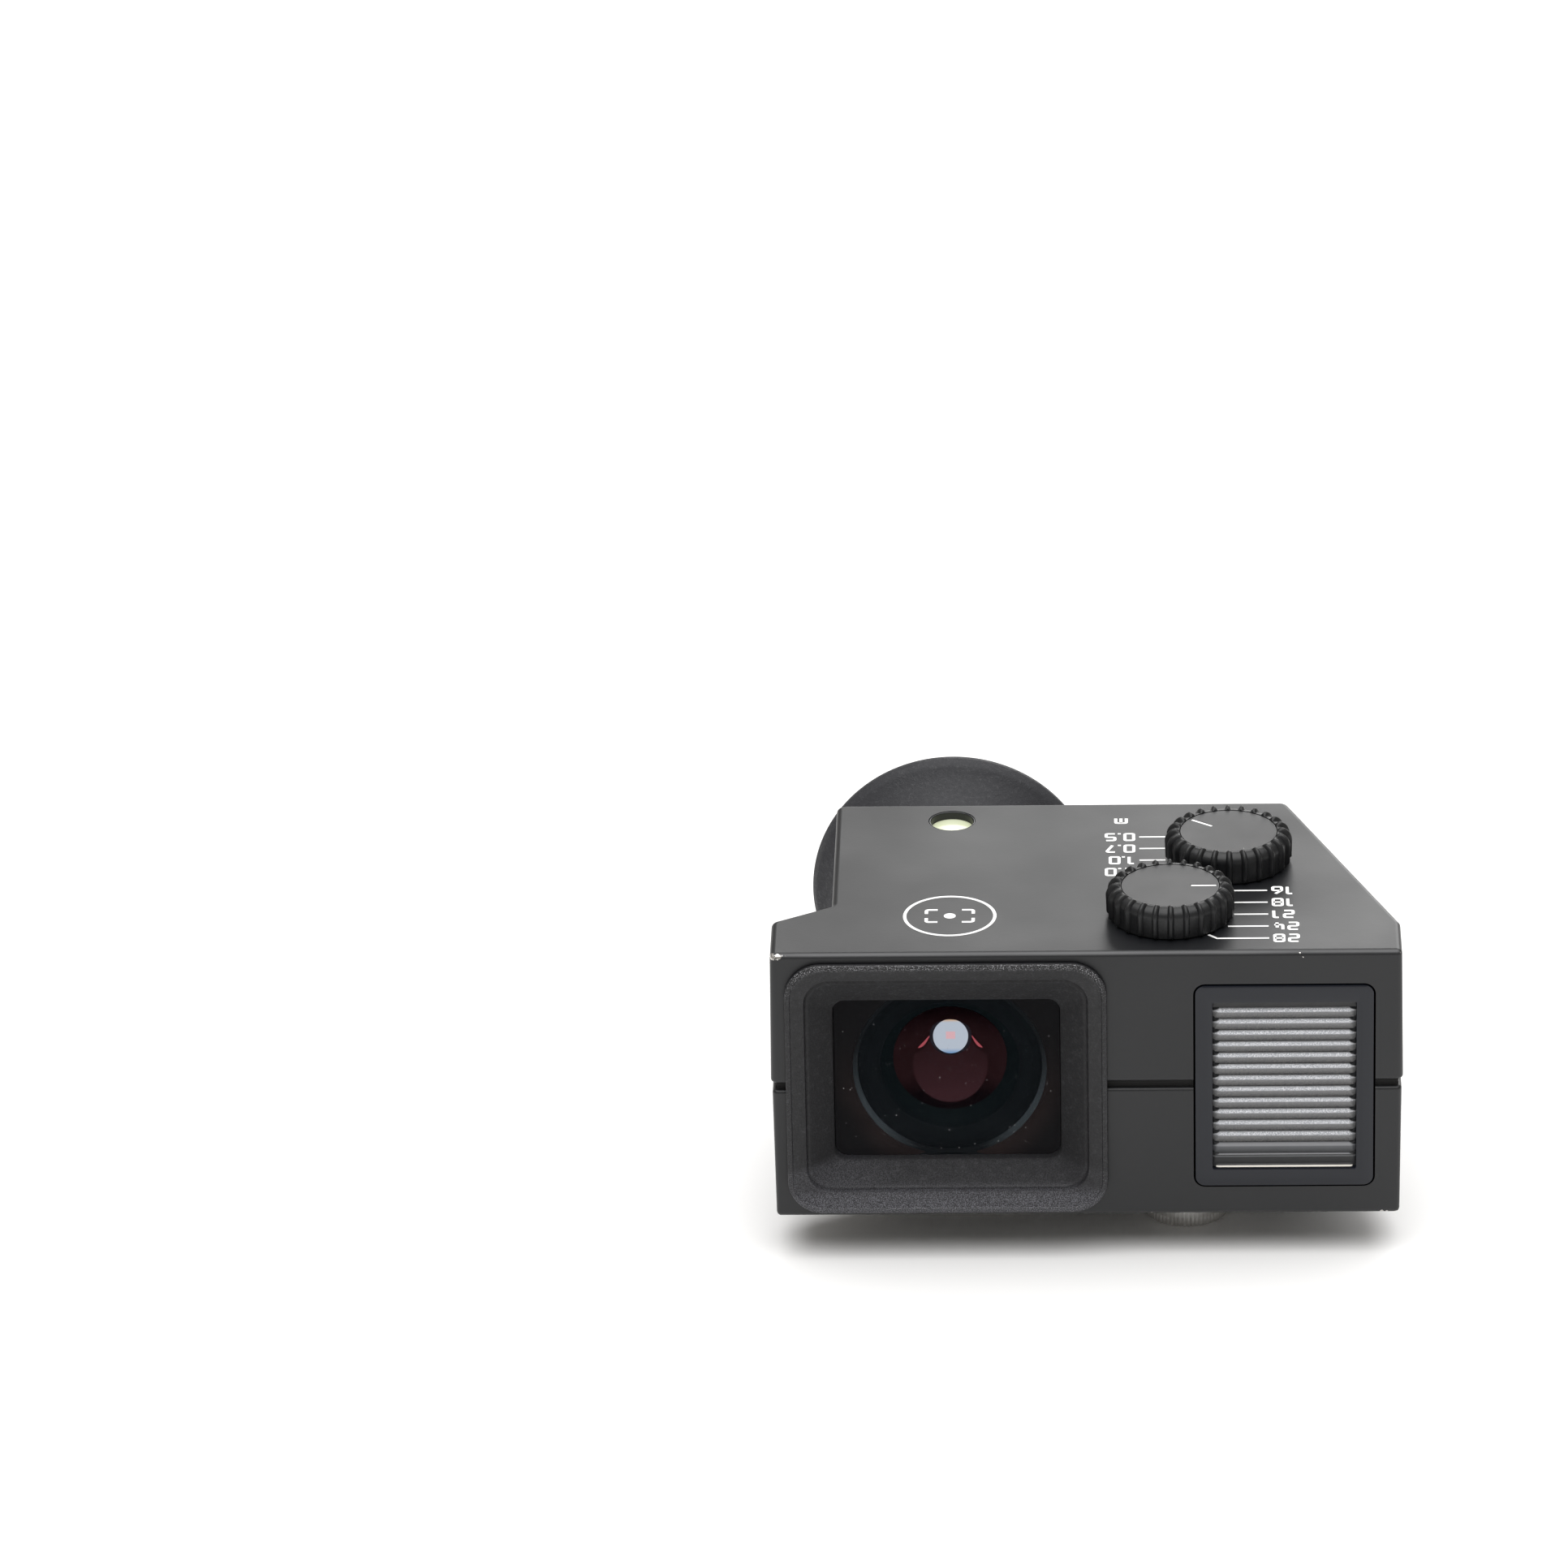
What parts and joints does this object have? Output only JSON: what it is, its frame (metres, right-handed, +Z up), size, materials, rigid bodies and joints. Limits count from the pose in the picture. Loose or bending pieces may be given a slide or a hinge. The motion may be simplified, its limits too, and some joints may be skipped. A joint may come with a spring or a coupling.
{
  "type": "shoe-mounted wide-angle viewfinder",
  "caption": "Boxy black accessory viewfinder with a funnelled objective, ribbed frame-light window, two ribbed setting knobs, spirit level, rubber eyecup and shoe foot with lock wheel.",
  "frame": {"origin": "centre of the shoe foot's sole, straight below the optical axis", "axes": "+Z up from the sole, the objective looks along -Y and the eyepiece along +Y, +X towards the frame-light window"},
  "size_m": [0.07, 0.0531, 0.0413],
  "materials": {
    "black_enamel": "satin black enamel on metal, worn bright at the corners",
    "bezel_black": "finely grained matt black moulding",
    "window_black": "smooth blue-black moulding",
    "cup_rubber": "finely grained matt black rubber",
    "grip_black": "satin black ribbed moulding",
    "coated_glass": "coated optical glass with dark teal and wine reflections",
    "frosted_pane": "frosted translucent ribs",
    "silvering": "front-silvered glass",
    "anodised_black": "matt black anodised",
    "turned_steel": "turned and milled bright steel",
    "brass": "plain turned brass",
    "white_fill": "white enamel fill",
    "level_liquid": "pale green level fluid over a cream back"
  },
  "bodies": {
    "housing": {"upper_shell": "black_enamel", "lower_shell": "black_enamel", "front_bezel": "bezel_black", "window_plate": "window_black", "eyecup": "cup_rubber", "objective_lens": "coated_glass", "negative_lens": "coated_glass", "front_prism": "coated_glass", "rear_prism": "coated_glass", "projection_lens": "coated_glass", "eyepiece_lens": "coated_glass", "window_diffuser": "frosted_pane", "objective_ring": "anodised_black", "lens_tube": "anodised_black", "projection_mount": "anodised_black", "optical_chassis": "anodised_black", "eyepiece_tube": "anodised_black", "eyepiece_ring": "anodised_black", "level_holder": "anodised_black", "foot_neck": "anodised_black", "foot_plate": "turned_steel", "mirror_pivot_pin": "turned_steel", "mirror_spring": "turned_steel", "focal_detent_spring": "turned_steel", "distance_wave_washer": "turned_steel", "foot_screw_1": "turned_steel", "foot_screw_2": "turned_steel", "foot_screw_3": "turned_steel", "foot_screw_4": "turned_steel", "case_screw_1": "turned_steel", "case_screw_2": "turned_steel", "case_screw_3": "turned_steel", "case_screw_4": "turned_steel", "chassis_screw_1": "turned_steel", "chassis_screw_2": "turned_steel", "chassis_screw_3": "turned_steel", "level_vial": "level_liquid"},
    "focal_dial": {"focal_grip": "grip_black", "focal_cap": "black_enamel", "focal_pointer": "white_fill", "focal_spindle": "brass", "focal_clip": "turned_steel", "focal_detent_plate": "brass", "focal_pinion": "brass"},
    "frame_carriage": {"frame_slide": "anodised_black"},
    "distance_dial": {"distance_grip": "grip_black", "distance_cap": "black_enamel", "distance_pointer": "white_fill", "distance_spindle": "brass", "distance_clip": "turned_steel", "parallax_cam": "brass"},
    "mirror_mount": {"mirror_carrier": "anodised_black", "frame_mirror": "silvering"},
    "lock_dial": {"lock_wheel": "turned_steel", "lock_spindle": "turned_steel", "lock_pinion": "brass"},
    "lock_slide": {"lock_slider": "turned_steel"},
    "lock_bolt": {"lock_pin": "turned_steel"}
  },
  "joints": [
    {"name": "focal_turn", "type": "hinge", "parent": "housing", "child": "focal_dial", "pos_m": [0.0246, -0.0103, 0.0375], "axis": [0, 0, 1], "range_deg": [-60, 60]},
    {"name": "frame_shift", "type": "slide", "parent": "housing", "child": "frame_carriage", "axis": [1, 0, 0], "range_m": [-0.00524, 0.00524]},
    {"name": "distance_turn", "type": "hinge", "parent": "housing", "child": "distance_dial", "pos_m": [0.03125, 0.0038, 0.0375], "axis": [0, 0, 1], "range_deg": [-23, 97]},
    {"name": "mirror_tilt", "type": "hinge", "parent": "housing", "child": "mirror_mount", "pos_m": [0.03528, -0.00172, 0.0142], "axis": [0.7071, -0.7071, 0], "range_deg": [-1.2, 4.2]},
    {"name": "lock_turn", "type": "hinge", "parent": "housing", "child": "lock_dial", "pos_m": [0.02624, -0.00845, 0.0046], "axis": [0, 0, 1], "range_deg": [0, 90]},
    {"name": "slider_shift", "type": "slide", "parent": "housing", "child": "lock_slide", "axis": [-1, 0, 0], "range_m": [0, 0.00628]},
    {"name": "bolt_drop", "type": "slide", "parent": "housing", "child": "lock_bolt", "axis": [0, 0, -1], "range_m": [0, 0.00125]}
  ],
  "couplings": [
    {"joint": "focal_turn", "follows": "frame_shift", "rad_per_m": 200},
    {"joint": "mirror_tilt", "follows": "distance_turn", "ratio": 0.04},
    {"joint": "lock_turn", "follows": "slider_shift", "rad_per_m": 250},
    {"joint": "bolt_drop", "follows": "slider_shift", "ratio": 0.19099}
  ]
}
